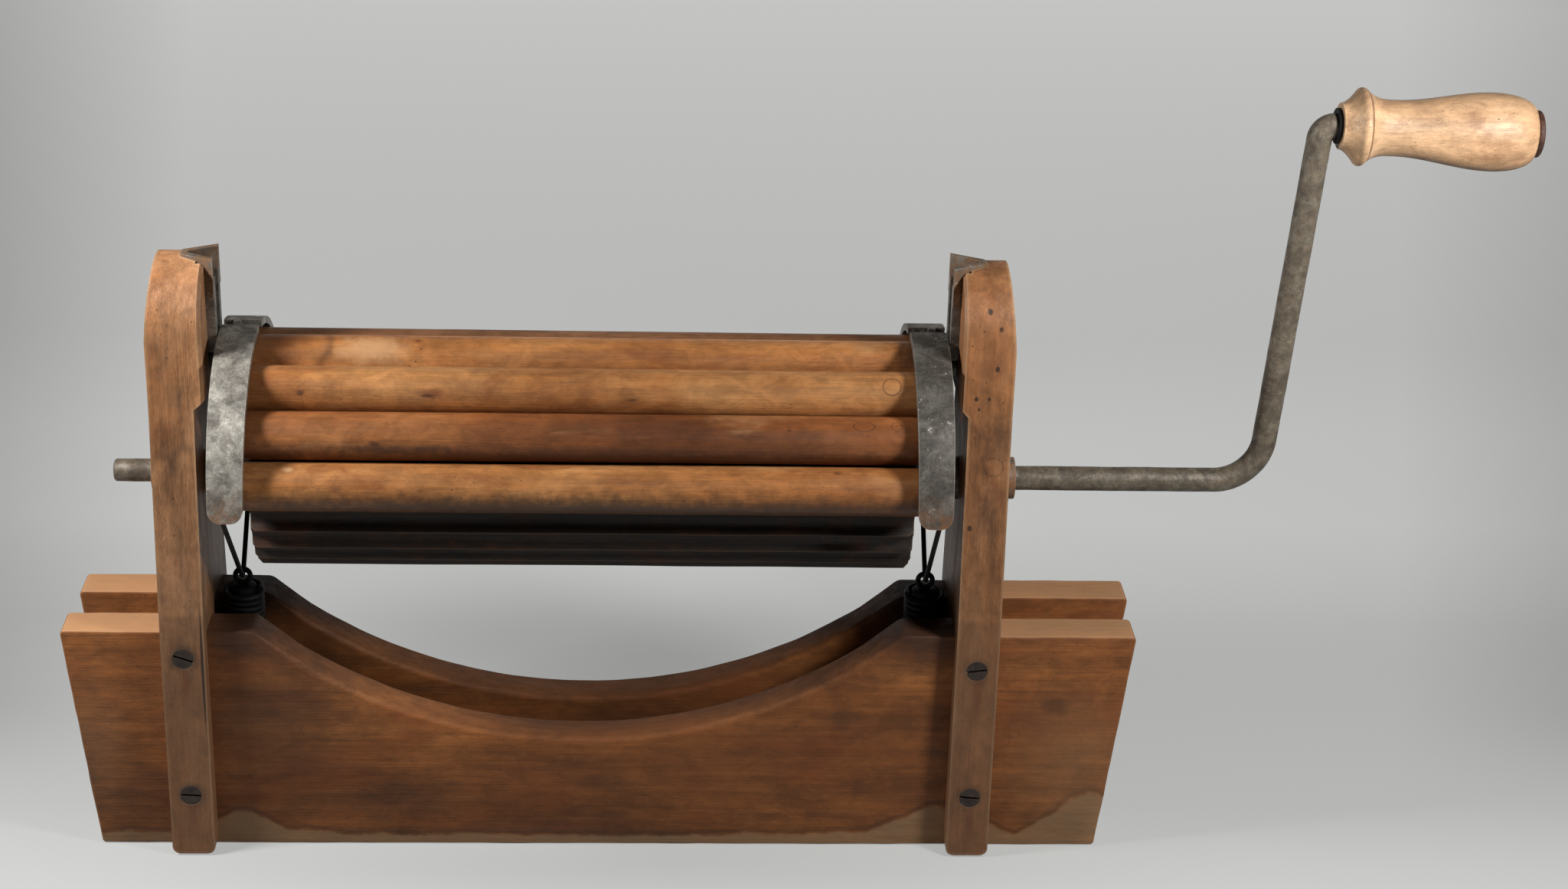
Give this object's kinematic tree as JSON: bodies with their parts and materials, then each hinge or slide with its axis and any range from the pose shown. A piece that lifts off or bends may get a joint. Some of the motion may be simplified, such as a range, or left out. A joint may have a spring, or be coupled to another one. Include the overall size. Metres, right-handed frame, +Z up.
{
  "type": "laundry wringer",
  "caption": "Hand-cranked wringer: a bent crank turns a fluted wooden roller under a sprung cage of loose rods, on long boards with a curved cut-out.",
  "frame": {"origin": "middle of the whole part's box seen from above, at the boards' bottom edge", "axes": "+X along the roller towards the crank, +Y from the front board to the back board, +Z up"},
  "size_m": [0.9168, 0.196, 0.5126],
  "materials": {
    "board_wood": "bare beech, worn smooth, grimy, with a pale wetted band along its foot",
    "upright_wood": "bare beech, polished by handling, dark in its pores",
    "rod_wood": "turned beech, polished by use, with water stains",
    "roller_wood": "fluted hardwood, dark and dry",
    "grip_wood": "turned pale beech, satin",
    "strap_iron": "dark galvanised iron with paler worn patches and some rust",
    "crank_iron": "dark mottled iron rod",
    "dark_iron": "blackened iron wire",
    "rusty_iron": "rusted iron",
    "screw_iron": "dark slotted wood screws and pins"
  },
  "bodies": {
    "frame": {"front_board": "board_wood", "back_board": "board_wood", "left_upright": "upright_wood", "right_upright": "upright_wood", "upright_screws": "screw_iron", "left_guide": "strap_iron", "right_guide": "strap_iron", "guide_screws": "screw_iron", "left_bush": "strap_iron", "right_bush": "strap_iron", "bush_nails": "screw_iron", "left_spring": "dark_iron", "right_spring": "dark_iron", "spring_anchor_pins": "screw_iron"},
    "crank": {"crank": "crank_iron", "fluted_roller": "roller_wood", "roller_drive_pins": "screw_iron", "axle_collars": "crank_iron", "collar_pins": "screw_iron", "grip_washer": "dark_iron", "grip_end_cap": "rusty_iron"},
    "grip": {"crank_grip": "grip_wood"},
    "crown": {"crown_pin": "strap_iron"},
    "crown_rod": {"crown_rod": "rod_wood"},
    "front_jaw": {"left_front_strap": "strap_iron", "right_front_strap": "strap_iron"},
    "back_jaw": {"left_back_strap": "strap_iron", "right_back_strap": "strap_iron"},
    "front_wires": {"left_front_wire": "dark_iron", "right_front_wire": "dark_iron"},
    "back_wires": {"left_back_wire": "dark_iron", "right_back_wire": "dark_iron"},
    "spring_eyes": {"left_spring_eye": "dark_iron", "right_spring_eye": "dark_iron"},
    "front_rod_1": {"front_rod_1": "rod_wood", "front_gudgeons_1": "strap_iron"},
    "front_rod_2": {"front_rod_2": "rod_wood", "front_gudgeons_2": "strap_iron"},
    "front_rod_3": {"front_rod_3": "rod_wood", "front_gudgeons_3": "strap_iron"},
    "back_rod_1": {"back_rod_1": "rod_wood", "back_gudgeons_1": "strap_iron"},
    "back_rod_2": {"back_rod_2": "rod_wood", "back_gudgeons_2": "strap_iron"},
    "back_rod_3": {"back_rod_3": "rod_wood", "back_gudgeons_3": "strap_iron"}
  },
  "joints": [
    {"name": "crank_spin", "type": "hinge", "parent": "frame", "child": "crank", "pos_m": [0, 0, 0.25], "axis": [1, 0, 0], "continuous": true},
    {"name": "grip_spin", "type": "hinge", "parent": "crank", "child": "grip", "pos_m": [0.33075, 0, 0.48877], "axis": [0.9997, 0, -0.0262], "continuous": true},
    {"name": "crown_lift", "type": "slide", "parent": "frame", "child": "crown", "axis": [0, 0, 1], "range_m": [0, 0.012], "stiffness_N_per_m": 1500, "springref_m": -0.02, "deforming": ["left_spring", "right_spring"]},
    {"name": "crown_rod_spin", "type": "hinge", "parent": "crown", "child": "crown_rod", "pos_m": [-0.12633, 0, 0.3275], "axis": [1, 0, 0], "continuous": true},
    {"name": "front_jaw_open", "type": "hinge", "parent": "crown", "child": "front_jaw", "pos_m": [-0.12633, 0, 0.3275], "axis": [-1, 0, 0], "range_deg": [0, 8], "stiffness_Nm_per_rad": 30, "springref_deg": -5.73},
    {"name": "back_jaw_open", "type": "hinge", "parent": "crown", "child": "back_jaw", "pos_m": [-0.12633, 0, 0.3275], "axis": [1, 0, 0], "range_deg": [0, 8]},
    {"name": "front_wire_swing", "type": "hinge", "parent": "front_jaw", "child": "front_wires", "pos_m": [-0.12633, -0.0903, 0.26144], "axis": [1, 0, 0], "range_deg": [0, 15]},
    {"name": "back_wire_swing", "type": "hinge", "parent": "back_jaw", "child": "back_wires", "pos_m": [-0.12633, 0.0903, 0.26144], "axis": [-1, 0, 0], "range_deg": [0, 15]},
    {"name": "spring_stretch", "type": "slide", "parent": "crown", "child": "spring_eyes", "axis": [0, 0, 1], "range_m": [0, 0.024], "deforming": ["left_spring", "right_spring"]},
    {"name": "front_rod_1_spin", "type": "hinge", "parent": "front_jaw", "child": "front_rod_1", "pos_m": [-0.12633, -0.03128, 0.3196], "axis": [1, 0, 0], "continuous": true},
    {"name": "front_rod_2_spin", "type": "hinge", "parent": "front_jaw", "child": "front_rod_2", "pos_m": [-0.12633, -0.05616, 0.29986], "axis": [1, 0, 0], "continuous": true},
    {"name": "front_rod_3_spin", "type": "hinge", "parent": "front_jaw", "child": "front_rod_3", "pos_m": [-0.12633, -0.07052, 0.2721], "axis": [1, 0, 0], "continuous": true},
    {"name": "back_rod_1_spin", "type": "hinge", "parent": "back_jaw", "child": "back_rod_1", "pos_m": [-0.12633, 0.03128, 0.3196], "axis": [1, 0, 0], "continuous": true},
    {"name": "back_rod_2_spin", "type": "hinge", "parent": "back_jaw", "child": "back_rod_2", "pos_m": [-0.12633, 0.05616, 0.29986], "axis": [1, 0, 0], "continuous": true},
    {"name": "back_rod_3_spin", "type": "hinge", "parent": "back_jaw", "child": "back_rod_3", "pos_m": [-0.12633, 0.07052, 0.2721], "axis": [1, 0, 0], "continuous": true}
  ],
  "couplings": [
    {"joint": "back_jaw_open", "follows": "front_jaw_open", "ratio": 1},
    {"joint": "front_wire_swing", "follows": "front_jaw_open", "ratio": 1.7524},
    {"joint": "back_wire_swing", "follows": "front_jaw_open", "ratio": 1.7524},
    {"joint": "spring_stretch", "follows": "front_jaw_open", "m_per_rad": 0.166},
    {"joint": "front_rod_3_spin", "follows": "crank_spin", "ratio": -3.8742},
    {"joint": "back_rod_3_spin", "follows": "crank_spin", "ratio": -3.8742}
  ]
}
